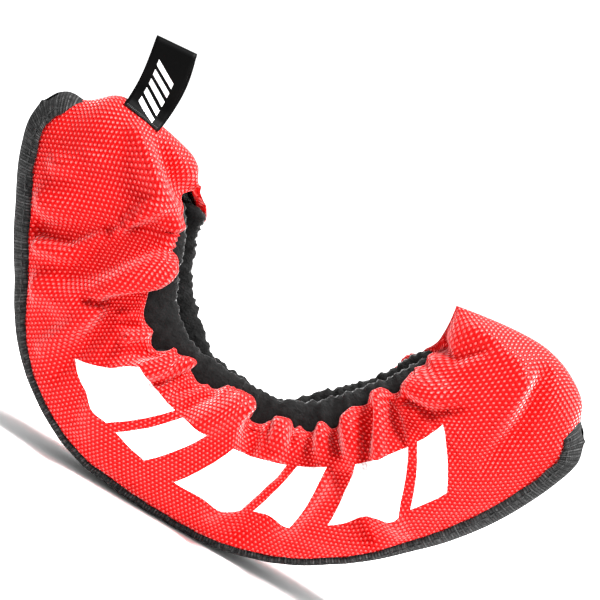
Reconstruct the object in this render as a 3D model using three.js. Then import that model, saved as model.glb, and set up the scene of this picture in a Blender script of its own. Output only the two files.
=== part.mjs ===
// A soft blade guard for an ice hockey skate: a sewn cloth pouch, curled by the elastic in its mouth.
// Two nylon side panels are sewn together along the sole, the two ends and the tops of the ends. A webbing
// binding covers the sole seam, a fleece lining sits inside, and a fleece lip with an elastic band in its
// fold follows each side of the mouth. A folded ribbon label stands on the top of the heel end.
//
// The guard stands on its sole with the mouth up: +X to the toe end, +Y to its left side, +Z up.
// Its side outline is close to a ring sector, so the outline is given in polar form about the curl's
// centre: an angle from straight down, positive towards the toe end, and a radius.
//
// The cloth is flexible. It is cut here at two radial planes, so that the heel end and the toe end can
// each turn about the sole, as the real guard does when it is pulled straight over a blade.

import * as THREE from 'three';

// ---- Driving dimensions, in millimetres and degrees ----

const SOLE_RADIUS = 130.2; // the curled sole line where the guard stands, on the side panels' outer face
const CURL_CENTRE_X = -3.15; // puts the middle of the whole guard's length on the origin
const HINGE_ANGLE = 37.5; // the heel end and the toe end flex about the sole at plus and minus this
const CUT_HALF_ANGLE = 0.14; // half of the gap between two bodies, at the hinge planes

const SHELL_THICK = 1.0;
const LINING_THICK = 2.0;
const LAYER_GAP = 0.46; // between one layer of cloth and the next
const SEAM_GAP = 0.34; // between the right and the left panel, at the seams that join them

const WEBBING_WIDTH = 25.4;
const WEBBING_THICK = 1.6;
const CORNER_SLACK = 0.7;
const WEBBING_END_ROW = 3; // the webbing turns up over the closed ends as far as this row of PANEL_ROWS
const WEAR_STRIP_WIDTH = 14;
const WEAR_STRIP_THICK = 1.4;
const WEAR_STRIP_END_ANGLE = 64;
const THREAD_WIDTH = 0.9;
const THREAD_THICK = 0.4;
const THREAD_GAP = 0.32; // between the webbing and the stitches on it
const THREAD_FROM_EDGE = 1.8;

const LIP_THICK = 5.6;
const LIP_PLY = 1.3;
const LIP_HEEL_END = -80;
const LIP_TOE_END = 76;
const ELASTIC_WIDTH = 3.2;
const ELASTIC_THICK = 1.2;

const LABEL_WIDTH = 18.5;
const LABEL_HEIGHT = 34;
const LABEL_PLY = 0.8;
const LABEL_LOOP_GAP = 6.2; // inside the folded loop, at its widest
const LABEL_RADIUS = 95; // where the label stands on the heel end, from the curl's centre
const LABEL_CLEARANCE = 2; // under the label, so that it can swing on its seam
const LABEL_LEAN = 3; // degrees, towards the toe end
const LABEL_TACK_HEIGHT = 2.4;

// A smooth curve through [place, value] pairs that never swings past them, level at both ends.
function profile(pairs) {
  const slope = pairs.map((pair, i) => {
    const before = pairs[i - 1];
    const after = pairs[i + 1];
    if (!before || !after) return 0;
    const [h0, h1] = [pair[0] - before[0], after[0] - pair[0]];
    const [d0, d1] = [(pair[1] - before[1]) / h0, (after[1] - pair[1]) / h1];
    return d0 * d1 > 0 ? (3 * (h0 + h1)) / ((2 * h1 + h0) / d0 + (h1 + 2 * h0) / d1) : 0;
  });
  return (place) => {
    if (place <= pairs[0][0]) return pairs[0][1];
    const next = pairs.findIndex((pair) => pair[0] >= place);
    if (next < 0) return pairs[pairs.length - 1][1];
    const [p0, v0] = pairs[next - 1];
    const [p1, v1] = pairs[next];
    const span = p1 - p0;
    const t = (place - p0) / span;
    const rise = t * t * (3 - 2 * t);
    return (
      v0 * (1 - rise) + v1 * rise +
      span * t * (1 - t) * (slope[next - 1] * (1 - t) - slope[next] * t)
    );
  };
}

// The side outline. The sole runs from the heel end's lower corner to the toe end's.
const HEEL_CORNER = -87.5;
const TOE_CORNER = 84.5;
const soleRadius = profile([
  [HEEL_CORNER, 130.4],
  [-84, 131.8],
  [-73, 128.2],
  [-58, 127.6],
  [-38, 131],
  [-12, SOLE_RADIUS],
  [12, SOLE_RADIUS],
  [28, 129.4],
  [42, 128],
  [60, 129.6],
  [72, 132.4],
  [79.5, 139.2],
  [TOE_CORNER, 136.6],
]);
const HEEL_CREST = -90.5;
const TOE_CREST = 100.3;
const topRadius = profile([
  [HEEL_CREST, 58.5],
  [-80, 60.5],
  [-66, 61.5],
  [-54, 64],
  [-45, 70],
  [-36, 73.5],
  [-20, 71.5],
  [-2, 69.6],
  [14, 71],
  [36, 69],
  [54, 66],
  [68, 65.2],
  [82, 63.8],
  [TOE_CREST, 62.6],
]);
// The crest of the fleece lips, which stand towards the curl's centre from the side panels' edges.
const lipCrest = profile([
  [-80, 54.6],
  [-64, 55.3],
  [-50, 57.6],
  [-30, 62],
  [-4, 63],
  [10, 64],
  [30, 60.5],
  [46, 58.2],
  [76, 58.4],
]);
// The closed ends: the angle of each end's outline at a radius.
const heelFace = profile([
  [58.5, HEEL_CREST],
  [63.5, -96.4],
  [70, -98.8],
  [86, -99.6],
  [103, -99.2],
  [110, -97.6],
  [116, -94.6],
  [124, -92.4],
  [130.4, HEEL_CORNER],
]);
const toeFace = profile([
  [62.6, TOE_CREST],
  [75, 100],
  [89, 99.4],
  [101, 98.4],
  [110, 96.8],
  [119, 94.3],
  [127, 91.2],
  [136.6, TOE_CORNER],
]);

// Widths across the guard.
const halfWidth = profile([
  [-99, 17],
  [-55, 20],
  [0, 21.5],
  [55, 21],
  [100, 18],
]);
const mouthHalfGap = profile([
  [-87, 0],
  [-81, 6],
  [-72, 9.5],
  [-56, 12],
  [-38, 12.5],
  [-4, 9.5],
  [30, 10.5],
  [56, 10],
  [72, 8],
  [79, 5],
  [84, 0],
]);
const topClosed = profile([
  [-86, 1],
  [-80, 0],
  [78, 0],
  [83, 1],
]);
// The half width that is flat across the sole: broad where the guard stands, none at the two ends.
const soleFlat = profile([
  [-62, 0],
  [-34, 7.3],
  [34, 7.3],
  [62, 0],
]);
const topRounding = profile([
  [-80, 17],
  [-60, 30],
  [70, 30],
  [98, 22],
]);
const SOLE_ROUNDING = 50;
const FACE_ROUNDING = 19;

const radians = THREE.MathUtils.degToRad;
const mix = THREE.MathUtils.lerp;
const MIDDLE_STEPS = 9; // an odd number, so that one flat facet of the webbing is what the guard stands on
const footHalfAngle = (HINGE_ANGLE - CUT_HALF_ANGLE) / MIDDLE_STEPS;
const curlCentreZ = (SOLE_RADIUS + LAYER_GAP + WEBBING_THICK) * Math.cos(radians(footHalfAngle));

// How far a side has come out at a depth inside the outline, from 0 to 1, on an elliptical rounding.
function turnIn(depth, rounding) {
  const t = THREE.MathUtils.clamp(depth / rounding, 0, 1);
  return Math.sqrt(1 - (1 - t) ** 2);
}

// Half of the guard's thickness at a point of its side view, for a cloth face that lies inset inside
// the outer face of the side panels.
function halfThickness(angle, radius, inset) {
  const face = angle < 0 ? angle - heelFace(radius) : toeFace(radius) - angle;
  const faceDepth = radians(face) * radius - inset;
  const soleDepth = soleRadius(angle) - radius - inset;
  const topDepth = radius - topRadius(angle) - inset * topClosed(angle);
  const gap = Math.max(mouthHalfGap(angle) - inset, 0);
  const top = turnIn(topDepth, topRounding(angle));
  const bottom = turnIn(soleDepth, SOLE_ROUNDING);
  const end = turnIn(faceDepth, FACE_ROUNDING);
  const full = mix(gap, halfWidth(angle) - inset, top);
  return mix(Math.min(soleFlat(angle), full), full, bottom) * end;
}

// A place in the guard's frame from polar form and a distance across.
function place(angle, radius, across) {
  const a = radians(angle);
  return new THREE.Vector3(
    CURL_CENTRE_X + radius * Math.sin(a),
    across,
    curlCentreZ - radius * Math.cos(a),
  );
}

// ---- Stations along the guard ----

// A station is a section from the sole to the mouth's edge or the top, given by its angle on the sole
// and its angle at the top. The sections are radial, and fan out to the outline of the closed ends:
// fan runs from 0 at the last radial section to 1 on that outline.
const HEEL_FAN_START = -70;
const TOE_FAN_START = 72;
const FAN_STEPS = 5;

function radialStations(from, to, steps) {
  return Array.from({ length: steps + 1 }, (_, i) => {
    const angle = mix(from, to, i / steps);
    return { sole: angle, top: angle, fan: 0 };
  });
}

function fanStations(start, corner, crest) {
  return Array.from({ length: FAN_STEPS }, (_, i) => {
    const fan = Math.sin(radians((90 * (i + 1)) / FAN_STEPS));
    return { sole: mix(start, corner, fan), top: mix(start, crest, fan), fan };
  });
}

const stations = {
  heel: [
    ...radialStations(-HINGE_ANGLE - CUT_HALF_ANGLE, HEEL_FAN_START, 4),
    ...fanStations(HEEL_FAN_START, HEEL_CORNER, HEEL_CREST),
  ],
  middle: radialStations(-HINGE_ANGLE + CUT_HALF_ANGLE, HINGE_ANGLE - CUT_HALF_ANGLE, MIDDLE_STEPS),
  toe: [
    ...radialStations(HINGE_ANGLE + CUT_HALF_ANGLE, TOE_FAN_START, 4),
    ...fanStations(TOE_FAN_START, TOE_CORNER, TOE_CREST),
  ],
};

// The point of a station at a height of 0 on the sole and 1 at the top, in polar form.
function sectionPoint({ sole, top, fan }, height, inset) {
  const topEdge = topRadius(top) + inset * topClosed(top);
  const radius = mix(soleRadius(sole) - inset, topEdge, height);
  const face = sole < 0 ? heelFace(radius) : toeFace(radius);
  const straight = mix(sole, top, height);
  const onOutline = mix(sole, face, fan);
  const insetAngle = -Math.sign(sole) * THREE.MathUtils.radToDeg(inset / radius);
  return { angle: mix(straight, onOutline + insetAngle * fan, fan), radius };
}

// ---- Solids ----

// A closed solid between two grids of points, grid[station][row], that face each other.
function thickSheet(outer, inner) {
  const stationCount = outer.length;
  const rowCount = outer[0].length;
  const points = [...outer.flat(), ...inner.flat()];
  const index = (layer, station, row) => (layer * stationCount + station) * rowCount + row;
  const faces = [];
  const quad = (a, b, c, d) => faces.push([a, b, c], [a, c, d]);
  for (let s = 0; s + 1 < stationCount; s += 1) {
    for (let r = 0; r + 1 < rowCount; r += 1) {
      quad(index(0, s, r), index(0, s + 1, r), index(0, s + 1, r + 1), index(0, s, r + 1));
      quad(index(1, s, r), index(1, s, r + 1), index(1, s + 1, r + 1), index(1, s + 1, r));
    }
    const last = rowCount - 1;
    quad(index(0, s, 0), index(1, s, 0), index(1, s + 1, 0), index(0, s + 1, 0));
    quad(index(0, s, last), index(0, s + 1, last), index(1, s + 1, last), index(1, s, last));
  }
  for (let r = 0; r + 1 < rowCount; r += 1) {
    const last = stationCount - 1;
    quad(index(0, 0, r), index(0, 0, r + 1), index(1, 0, r + 1), index(1, 0, r));
    quad(index(0, last, r), index(1, last, r), index(1, last, r + 1), index(0, last, r + 1));
  }
  const insideOut = signedVolume(points, faces) < 0;
  const geometry = new THREE.BufferGeometry().setFromPoints(points);
  geometry.setIndex(faces.flatMap(([a, b, c]) => (insideOut ? [a, c, b] : [a, b, c])));
  geometry.computeVertexNormals();
  return geometry;
}

function signedVolume(points, faces) {
  const triple = ([a, b, c]) => points[a].dot(points[b].clone().cross(points[c]));
  return faces.reduce((sum, face) => sum + triple(face) / 6, 0);
}

// Row heights from the sole to the mouth, close together where the section turns sharply.
const PANEL_ROWS = [0, 0.03, 0.09, 0.18, 0.34, 0.58, 0.82, 0.96, 1];

// One side of a layer of cloth, between two insets from the outer face. side is -1 right, 1 left.
function panel(stationList, side, outerInset, innerInset) {
  const grid = (inset) =>
    stationList.map((station) => {
      const seam = sectionPoint(station, 0, inset);
      const wall = PANEL_ROWS.map((height) => {
        const { angle, radius } = sectionPoint(station, height, inset);
        const across = halfThickness(angle, radius, inset) + SEAM_GAP;
        return place(angle, radius, side * across);
      });
      return [place(seam.angle, seam.radius, (side * SEAM_GAP) / 2), ...wall];
    });
  return thickSheet(grid(outerInset), grid(innerInset));
}

// The line that the webbing follows: the sole, and up the outline of the closed end if there is one. The
// webbing lies looser on the corner there.
function webbingLine(stationList) {
  const onSole = stationList.map((station) => ({
    ...sectionPoint(station, 0, 0),
    slack: station.fan > 0 ? CORNER_SLACK : 0,
  }));
  const last = stationList[stationList.length - 1];
  if (last.fan < 1) return onSole;
  const upFace = PANEL_ROWS.slice(1, WEBBING_END_ROW + 1);
  const onFace = upFace.map((height) => ({ ...sectionPoint(last, height, 0), slack: CORNER_SLACK }));
  return [...onSole, ...onFace];
}

const FOCUS_DEPTH = 15; // cross-sections of the webbing aim this deep, so that they never cross at a corner

// Points across a strip that wraps the sole outline at a point of it: for each arc length from the
// centreline, negative to the right, a place on the face that lies inset from the panels' outer face.
function acrossSole({ angle, radius }, arcs, inset) {
  const edge = place(angle, radius, 0);
  const limit = THREE.MathUtils.radToDeg(FOCUS_DEPTH / radius);
  const focusAngle = THREE.MathUtils.clamp(angle, HEEL_CORNER + limit, TOE_CORNER - limit);
  const focusRadius = Math.min(radius, soleRadius(focusAngle) - FOCUS_DEPTH);
  const inward = place(focusAngle, focusRadius, 0).sub(edge).normalize();
  const at = (depth) => {
    const point = edge.clone().addScaledVector(inward, depth);
    const [x, z] = [point.x - CURL_CENTRE_X, curlCentreZ - point.z];
    const pointAngle = THREE.MathUtils.radToDeg(Math.atan2(x, z));
    return point.setY(halfThickness(pointAngle, Math.hypot(x, z), inset));
  };
  const STEP = 0.05;
  const walk = [{ arc: 0, point: edge.clone().addScaledVector(inward, inset) }];
  const furthest = Math.max(...arcs.map(Math.abs));
  for (let depth = inset; walk[walk.length - 1].arc < furthest; depth += STEP) {
    const last = walk[walk.length - 1];
    const point = at(depth);
    walk.push({ arc: last.arc + point.distanceTo(last.point), point });
  }
  return arcs.map((arc) => {
    const next = Math.max(1, walk.findIndex((step) => step.arc >= Math.abs(arc)));
    const [a, b] = [walk[next - 1], walk[next]];
    const part = b.arc > a.arc ? (Math.abs(arc) - a.arc) / (b.arc - a.arc) : 0;
    const point = a.point.clone().lerp(b.point, part);
    return point.setY(Math.sign(arc) * point.y);
  });
}

function wrappedStrip(line, arcs, outerInset, innerInset) {
  const grid = (inset) => line.map((point) => acrossSole(point, arcs, inset - point.slack));
  return thickSheet(grid(outerInset), grid(innerInset));
}

function evenArcs(from, to, steps) {
  return Array.from({ length: steps + 1 }, (_, i) => mix(from, to, i / steps));
}

// The fleece lip: a fold of cloth over the mouth's edge, open underneath, with the elastic inside. A row of
// its section is a point: [across from the lip's middle, above the side panels' edge].
const LIP_BOTTOM = LAYER_GAP;
const ELASTIC_BOTTOM = LIP_BOTTOM + 0.4;

const lipSection = (halfThick, ply) => (angle) => {
  const top = topRadius(angle) - lipCrest(angle) - ply;
  const bend = [180, 135, 90, 45, 0].map((degrees) => {
    const a = radians(degrees);
    return [halfThick * Math.cos(a), top - halfThick + halfThick * Math.sin(a)];
  });
  return [[-halfThick, LIP_BOTTOM], ...bend, [halfThick, LIP_BOTTOM]];
};

const elasticSection = (across) => () =>
  [0, 0.5, 1].map((t) => [across, ELASTIC_BOTTOM + t * ELASTIC_WIDTH]);

// A solid swept along one side of the mouth, between an outer and an inner section.
function alongMouth(angles, side, outerSection, innerSection) {
  const grid = (section) =>
    angles.map((angle) => {
      const lipMiddle = mouthHalfGap(angle) - 0.9;
      return section(angle).map(([across, above]) =>
        place(angle, topRadius(angle) - above, side * (lipMiddle + across)),
      );
    });
  return thickSheet(grid(outerSection), grid(innerSection));
}

// The angles of the mouth's stations, as far as the lip's end.
function mouthAngles(stationList) {
  const end = stationList[0].top < 0 ? LIP_HEEL_END : LIP_TOE_END;
  const inside = stationList.map(({ top }) => top).filter((angle) => Math.abs(angle) < Math.abs(end));
  return inside.length < stationList.length ? [...inside, end] : inside;
}

// ---- The ribbon label ----

const labelFoot = place(heelFace(LABEL_RADIUS), LABEL_RADIUS, 0);

// The ribbon's loop, seen from the end: across against height, up the right ply and down the left.
function labelLoop(offset) {
  const half = profile([
    [0, LABEL_PLY / 2 + 0.35],
    [0.3, LABEL_PLY / 2 + 0.9],
    [0.75, (LABEL_LOOP_GAP + LABEL_PLY) / 2],
    [0.93, (LABEL_LOOP_GAP + LABEL_PLY) / 2.4],
  ]);
  const rise = [0, 0.3, 0.6, 0.82];
  const foldRadius = half(0.93) + offset;
  const foldHeight = LABEL_HEIGHT - half(0.93) - LABEL_PLY / 2;
  const right = rise.map((h) => [-half(h) - offset, h * foldHeight]);
  const fold = [180, 144, 108, 72, 36, 0].map((degrees) => {
    const a = radians(degrees);
    return [foldRadius * Math.cos(a), foldHeight + foldRadius * Math.sin(a)];
  });
  const left = right.map(([across, height]) => [-across, height]).reverse();
  return [...right, ...fold, ...left];
}

// Label parts are made about the label's foot, along X, and placed by the label's group.
function acrossLabel(width, outerSection, innerSection) {
  const grid = (section) =>
    [-width / 2, width / 2].map((x) =>
      section.map(([across, height]) => new THREE.Vector3(x, across, height)),
    );
  return thickSheet(grid(outerSection), grid(innerSection));
}

function labelTack() {
  const face = -(LABEL_PLY + 0.35 + 0.9) - 0.3;
  const rows = (across) => [
    [across, LABEL_TACK_HEIGHT],
    [across, LABEL_TACK_HEIGHT + THREAD_WIDTH],
  ];
  return acrossLabel(LABEL_WIDTH - 3, rows(face - THREAD_THICK), rows(face));
}

// ---- Materials ----

const cloth = (color, roughness) =>
  new THREE.MeshStandardMaterial({ color, roughness, metalness: 0 });
const materials = {
  nylon: cloth(0xd90a0f, 0.55),
  fleece: cloth(0x1c1c1e, 0.95),
  webbing: cloth(0x242628, 0.75),
  elastic: cloth(0x2a2a2c, 0.8),
  thread: cloth(0x18181a, 0.6),
  ribbon: cloth(0x0b0b0c, 0.5),
};

// ---- The assembly ----

const guard = new THREE.Group();

function add(name, geometry, material, parent = guard) {
  const mesh = new THREE.Mesh(geometry, material);
  mesh.name = name;
  parent.add(mesh);
}

const shellFaces = [0, SHELL_THICK];
const liningOuter = SHELL_THICK + LAYER_GAP;
const liningFaces = [liningOuter, liningOuter + LINING_THICK];
const webbingInner = -LAYER_GAP;
const webbingOuter = webbingInner - WEBBING_THICK;
const stripOuter = liningFaces[1] + LAYER_GAP;
const threadInner = webbingOuter - THREAD_GAP;
const webbingArcs = [-1, -0.8, -0.57, -0.28, 0, 0.28, 0.57, 0.8, 1].map((t) => (t * WEBBING_WIDTH) / 2);
const stripArcs = evenArcs(-WEAR_STRIP_WIDTH / 2, WEAR_STRIP_WIDTH / 2, 4);
const sides = { right: -1, left: 1 };

for (const [body, walls] of Object.entries(stations)) {
  const line = webbingLine(walls);
  const webbing = wrappedStrip(line, webbingArcs, webbingOuter, webbingInner);
  add(`sole_webbing_${body}`, webbing, materials.webbing);

  const stripLine = line.filter(({ angle }) => Math.abs(angle) <= WEAR_STRIP_END_ANGLE);
  const strip = wrappedStrip(stripLine, stripArcs, stripOuter, stripOuter + WEAR_STRIP_THICK);
  add(`wear_strip_${body}`, strip, materials.webbing);

  const mouth = mouthAngles(walls);
  for (const [sideName, side] of Object.entries(sides)) {
    add(`shell_${sideName}_${body}`, panel(walls, side, ...shellFaces), materials.nylon);
    add(`lining_${sideName}_${body}`, panel(walls, side, ...liningFaces), materials.fleece);

    const half = LIP_THICK / 2;
    const lip = alongMouth(mouth, side, lipSection(half, 0), lipSection(half - LIP_PLY, LIP_PLY));
    add(`mouth_lip_${sideName}_${body}`, lip, materials.fleece);
    const bandFace = elasticSection(ELASTIC_THICK / 2);
    const band = alongMouth(mouth, side, elasticSection(-ELASTIC_THICK / 2), bandFace);
    add(`mouth_elastic_${sideName}_${body}`, band, materials.elastic);

    const threadMiddle = side * (WEBBING_WIDTH / 2 - THREAD_FROM_EDGE);
    const threadArcs = [threadMiddle - THREAD_WIDTH / 2, threadMiddle + THREAD_WIDTH / 2];
    const thread = wrappedStrip(line, threadArcs, threadInner - THREAD_THICK, threadInner);
    add(`sole_stitching_${sideName}_${body}`, thread, materials.thread);
  }
}

const label = new THREE.Group();
label.position.set(labelFoot.x, 0, labelFoot.z + LABEL_CLEARANCE);
label.rotation.y = radians(-LABEL_LEAN);
guard.add(label);
add(
  'label_loop',
  acrossLabel(LABEL_WIDTH, labelLoop(LABEL_PLY / 2), labelLoop(-LABEL_PLY / 2)),
  materials.ribbon,
  label,
);
add('label_stitching', labelTack(), materials.thread, label);

export default guard;
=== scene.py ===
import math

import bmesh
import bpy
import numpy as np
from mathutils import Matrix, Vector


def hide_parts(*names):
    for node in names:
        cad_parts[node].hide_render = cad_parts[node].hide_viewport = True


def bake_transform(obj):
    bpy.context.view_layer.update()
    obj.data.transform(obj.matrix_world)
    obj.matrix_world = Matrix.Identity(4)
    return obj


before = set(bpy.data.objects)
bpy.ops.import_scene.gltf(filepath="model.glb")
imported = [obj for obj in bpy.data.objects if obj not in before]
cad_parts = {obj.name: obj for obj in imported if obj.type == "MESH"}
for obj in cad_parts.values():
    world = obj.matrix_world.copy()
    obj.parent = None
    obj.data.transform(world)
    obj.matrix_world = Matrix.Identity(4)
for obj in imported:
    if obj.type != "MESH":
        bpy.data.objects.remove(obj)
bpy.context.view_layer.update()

# A soft blade guard for an ice hockey skate: a red nylon pouch, curled by the elastic in its mouth, with
# a fleece lining and lips, a ribbed webbing sole and a folded ribbon label on the heel end.
#
# The side outline is in polar form about the curl's centre: an angle in degrees from straight down,
# positive towards the toe end, and a radius. Lengths are in millimetres until a mesh is made.
# A grid is an array of points [station, row, xyz]: stations run from the heel end to the toe end.

# ---- Driving dimensions, in millimetres and degrees ----

SIDES = {"right": -1, "left": 1}
HALVES = {"heel": -1, "toe": 1}

# The curl and its grid
CURL_X, CURL_Z = -3.15, 131.9  # its centre
SOLE_LEVEL = 130.0  # the sole's nominal radius
HEEL_CORNER, TOE_CORNER = -88.6, 84.5  # where the sole meets the closed ends
HEEL_CREST, TOE_CREST = -90.5, 100.3  # where the closed ends meet the top
HEEL_TOP, TOE_TOP = 58.5, 62.6  # the radii there
HEEL_FAN, TOE_FAN = -70.0, 72.0  # beyond these the sections fan round the closed ends
STATION_STEP = 1.0  # it divides both, so that one station lies at the lowest point
FAN_STEPS, ROWS = 15, 35
BEND_START, BEND_END, BEND_RADIUS = 17.5, 57.5, 100  # each hinge's span; bend() works out places from it, but they go unused

# The outer shell, which is cut for a wider curl and gathered by the mouth's elastic
SOLE_ROUNDING, FACE_ROUNDING = 50.0, 19.0  # how deep it rounds off to the sole and to the closed ends
HEM_RADIUS, HEM_DEPTH = 0.8, 4.0
CUT_SHIFT = 110.0  # how much further away the wider curl's centre lies
CUT_LIMITS = (-74.0, 76.0)  # beyond these the cut isn't widened
WEAVE_PITCH = 2.0
PRINT_RADIUS = 100.0  # lengths along the print are taken here
PRINT_ENDS, PRINT_BAND = (-76.0, 104.0), (17.5, 43.0)  # along the curl, and up from the nominal sole
PRINT_LEAN, PRINT_STEP = 0.6, 61.0
PRINT_BROAD, PRINT_SLIM = 27.0, (32.0, 47.0)  # the two bars of each step

# How its cloth settles into folds
GATHER_ROUNDS = 120
WARP_STRENGTH, WEFT_STRENGTH, BIAS_STRENGTH = 0.7, 0.7, 0.12  # of 1, along, up and on the cross
TAUT = 0.12  # the same for a stretched thread
BEND_ALONG, BEND_UP = 0.05, 0.2  # the cloth's stiffness: folds run up the panel
GRIP, HOLD = 0.06, 0.02  # how firmly the lining keeps the shell from sliding and from lifting
FOLD_GAIN = 3.7  # folds are begun this much higher than listed, because settling flattens them
PUCKER, PUCKER_PITCH, PUCKER_FADE = 1.1, 7.6, 9  # the small gathers at the mouth: height, pitch, depth
CRUMPLE = 0.45  # height of the small folds all over the panel
HELD, FREE = 12, 19  # how far up from the sole the cloth is held, and from where on it is free
END_HELD = 0.35  # the share of the fan, at each closed end, where it is held too
PRESSED = 0.4  # the share of the folds that is pressed in again afterwards
LOW_LIMIT, HIGH_LIMIT = 5.4, 8.0  # of the folds, below and above the smooth shape
RIM_LIMIT = {"right": 2.4, "left": 1.1}  # the same at the mouth's edge
RIM_FADE = 6  # and how deep it reaches

# The layers inside and under the shell; insets are measured inwards from its smooth face
LINING_INSETS = (6.2, 7.7)
LINING_ROWS, LINING_TOP = 20, 0.95  # it ends this share of the way up to the mouth's edge
WEBBING_INSETS = (-1.68, -0.3)
WEBBING_HALF, WEBBING_COLUMNS = 12.7, 33
WEBBING_WAVE = 0.45  # of its loose edges
CORNER_SLACK, END_SINK = 0.7, 2.8  # how far it stands off at the corners and sinks at its ends
SLACK_ANGLES = (68, 80)  # where it begins to stand off, and where it does so fully
FACE_END = {"heel": 0.21, "toe": 0.08}  # the share of each closed end that it runs up
TAPER = {"heel": 11, "toe": 6}  # the length that it narrows over
STRIP_INSETS = (7.9, 9.3)
STRIP_HALF, STRIP_COLUMNS, STRIP_END = 7.0, 13, 64.0
LINE_POINTS = 150  # along each half of the sole and of a lip
FACE_POINTS, SINK_FROM = 21, 8  # up a closed end, and the one that it sinks from
FOCUS_DEPTH = 15.0  # cross-sections of a strip aim this deep, so that they never cross at a corner
WRAP_DEPTH, WRAP_POINTS = 17, 240  # how deep they are measured, and at how many points
STITCH_LENGTH, STITCH_GAP, STITCH_THICK = 2.9, 0.9, 0.62
STITCH_FROM_EDGE, STITCH_START, STITCH_END = 1.3, 1.5, 2  # margins of a row

# The mouth
LIP_THICK = 5.4
LIP_TUCK = 9.0  # how far the lip runs down inside the rim
LIP_ENDS = (-81.5, 79.0)
LIP_ROUND = 36
LIP_SQUARE = 2.2  # the power of its section, where 2 is an ellipse
MOUTH_RADIUS = 65  # lengths along the mouth are taken here
ELASTIC_WIDTH, ELASTIC_THICK = 3.2, 1.2

# The label
LABEL_WIDTH, LABEL_PLY = 18.5, 0.55
LABEL_DROP, LABEL_RISE = 1.4, 30.2  # below and above the ridge that it is sewn to
LABEL_FOOT = Vector((-96.85, 0, 149.58))
LABEL_TILT = (8.5, -4.5)  # at its foot and at its fold
LABEL_DRIFT = -2.4  # of its fold, along the guard
LABEL_BELLY = 0.9  # in between
LABEL_OFF = {"front": 1.35, "back": 0.8}  # from the shell to each ply's foot
BAR_STEP, BAR_SHARE, BAR_LEAN = 4.4, 0.58, 0.45  # the label's printed bars
BAR_ENDS, BAR_HALF = (4.4, 26.4), 4.8  # along the ribbon and across it
TACK_PITCH, TACK_MARGIN, TACK_THREAD = 0.75, 1.2, 0.2

# The picture, in metres and degrees
VIEW_TARGET = Vector((0, 0, 0.080))
VIEW_AZIMUTH, VIEW_ELEVATION, VIEW_ROLL = 0.5, 9.9, 30.0
VIEW_DISTANCE = 1.4
VIEW_WIDTH = 0.2556  # across the picture, at the target
FRAME_OFFSET = (0.0148, 0.0272)  # from the target to the picture's middle
SENSOR = 36  # in millimetres
SUN_FROM, SUN_POWER, SUN_SPREAD = Vector((0.2, -0.12, 0.97)), 1.3, 45
SOFTBOX_AT, SOFTBOX_TARGET = Vector((0.15, -0.06, 0.7)), Vector((0, 0, 0.08))
SOFTBOX_SIZE, SOFTBOX_POWER = 0.3, 24
WORLD_POWER, FLOOR_HALF = 0.75, 40


def profile(*pairs):
    """A smooth curve through (place, value) pairs that never swings past them, level at both ends."""
    x, y = np.array(pairs, float).T
    h, d = np.diff(x), np.diff(y) / np.diff(x)
    slope = np.zeros(len(x))
    for i in range(1, len(x) - 1):
        if d[i - 1] * d[i] > 0:
            near, far = 2 * h[i] + h[i - 1], h[i] + 2 * h[i - 1]
            slope[i] = (near + far) / (near / d[i - 1] + far / d[i])

    def at(where):
        where = np.clip(np.asarray(where, float), x[0], x[-1])
        i = np.clip(np.searchsorted(x, where, side="right") - 1, 0, len(h) - 1)
        t = (where - x[i]) / h[i]
        rise = t * t * (3 - 2 * t)
        bend = h[i] * t * (1 - t) * (slope[i] * (1 - t) - slope[i + 1] * t)
        return y[i] * (1 - rise) + y[i + 1] * rise + bend

    return at


# ---- The side outline, and widths along it ----

sole_radius = profile(
    (HEEL_CORNER, 133), (-85, 133.8), (-80, 132.6), (-68, 129.6), (-57, 129.1), (-50, 130.9), (-44, 132.6),
    (-36.5, 133.8), (-26, 134.6), (-20, 134.2), (-12, 131.6), (0, 130.2), (10, 131.2), (24, 131.2),
    (34, 130.2), (45, 130.4), (54, 132.4), (64, 134.8), (76, 137.4), (81, 138.3), (TOE_CORNER, 135.8),
)
heel_face = profile(
    (HEEL_TOP, HEEL_CREST), (63.5, -96.4), (70, -98.8), (86, -99.6), (103, -99.5), (109, -98.6),
    (113, -96.4), (118, -93.9), (124, -92.8), (129, -91.2), (133, HEEL_CORNER),
)
toe_face = profile(
    (TOE_TOP, TOE_CREST), (75, 100), (89, 99.4), (101, 98.4), (110, 96.8), (119, 94.3), (127, 91.2),
    (135.8, TOE_CORNER),
)
top_radius = {
    "right": profile(
        (HEEL_CREST, HEEL_TOP), (-86, 58.6), (-82, 60.4), (-78, 61), (-71, 58.6), (-64, 61.2),
        (-55.5, 61.5), (-51, 68.6), (-45, 73.5), (-40, 77), (-31.5, 78.6), (-28.5, 72.4), (-24, 73.6),
        (-19.6, 70.4), (-14.6, 72.4), (-10.7, 71.4), (-4.2, 68), (4, 68), (8.6, 74), (16, 72.2),
        (26.4, 72.6), (38, 70.4), (45, 66), (50, 63.4), (58, 63.6), (62, 66.8), (66, 66.2), (74, 63.8),
        (83, 62.8), (TOE_CREST, TOE_TOP),
    ),
    "left": profile(
        (HEEL_CREST, HEEL_TOP), (-86, 58), (-82, 54.5), (-77, 51.8), (-72, 53.6), (-62, 59), (-45, 66),
        (-20, 70), (0, 69), (20, 70), (45, 65.5), (58, 61.5), (68, 58.6), (76, 60), (84, 62.8),
        (TOE_CREST, TOE_TOP),
    ),
}
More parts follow.
